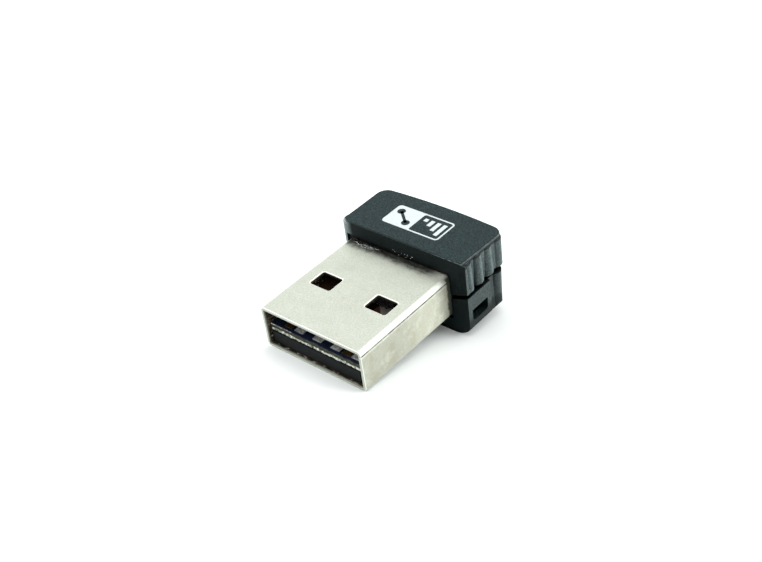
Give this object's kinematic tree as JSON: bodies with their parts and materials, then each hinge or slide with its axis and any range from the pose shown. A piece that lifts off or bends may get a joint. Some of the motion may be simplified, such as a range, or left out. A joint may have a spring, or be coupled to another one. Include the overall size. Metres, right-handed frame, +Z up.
{
  "type": "usb wifi adapter",
  "caption": "Miniature USB wireless network adapter: a flat metal plug with latch windows and a short black plastic case with ribbed grips and a lanyard slot.",
  "frame": {"origin": "on the plug's axis in the plane of the case's front face, where the plug's exposed length ends", "axes": "+X across the plug's width, +Y from the plug's mouth towards the back of the case, +Z up towards the case's printed top"},
  "size_m": [0.0151, 0.0189, 0.0082],
  "materials": {
    "case_plastic": "fine textured matte",
    "plug_steel": "satin nickel plating",
    "carrier_plastic": "satin moulded",
    "board_mask": "glossy solder mask",
    "contact_gold": "gold plated",
    "tin": "tinned",
    "chip_epoxy": "moulded epoxy",
    "part_ceramic": "fired ceramic",
    "resistor_glaze": "glazed",
    "glue": "cured glue",
    "print_ink": "pad-printed white ink"
  },
  "bodies": {
    "root": {"upper_case": "case_plastic", "lower_case": "case_plastic", "plug_shell": "plug_steel", "shell_adhesive": "glue", "board_carrier": "carrier_plastic", "circuit_board": "board_mask", "contact_vbus": "contact_gold", "contact_data_minus": "contact_gold", "contact_data_plus": "contact_gold", "contact_ground": "contact_gold", "test_pads": "tin", "shell_solder_joints": "tin", "wifi_chip": "chip_epoxy", "wifi_chip_terminals": "tin", "crystal_base": "part_ceramic", "crystal_lid": "tin", "regulator_body": "chip_epoxy", "regulator_leads": "tin", "inductor_core": "chip_epoxy", "inductor_terminals": "tin", "capacitor_bodies": "part_ceramic", "capacitor_terminals": "tin", "resistor_bodies": "resistor_glaze", "resistor_terminals": "tin", "antenna_trace": "contact_gold"}
  },
  "joints": []
}
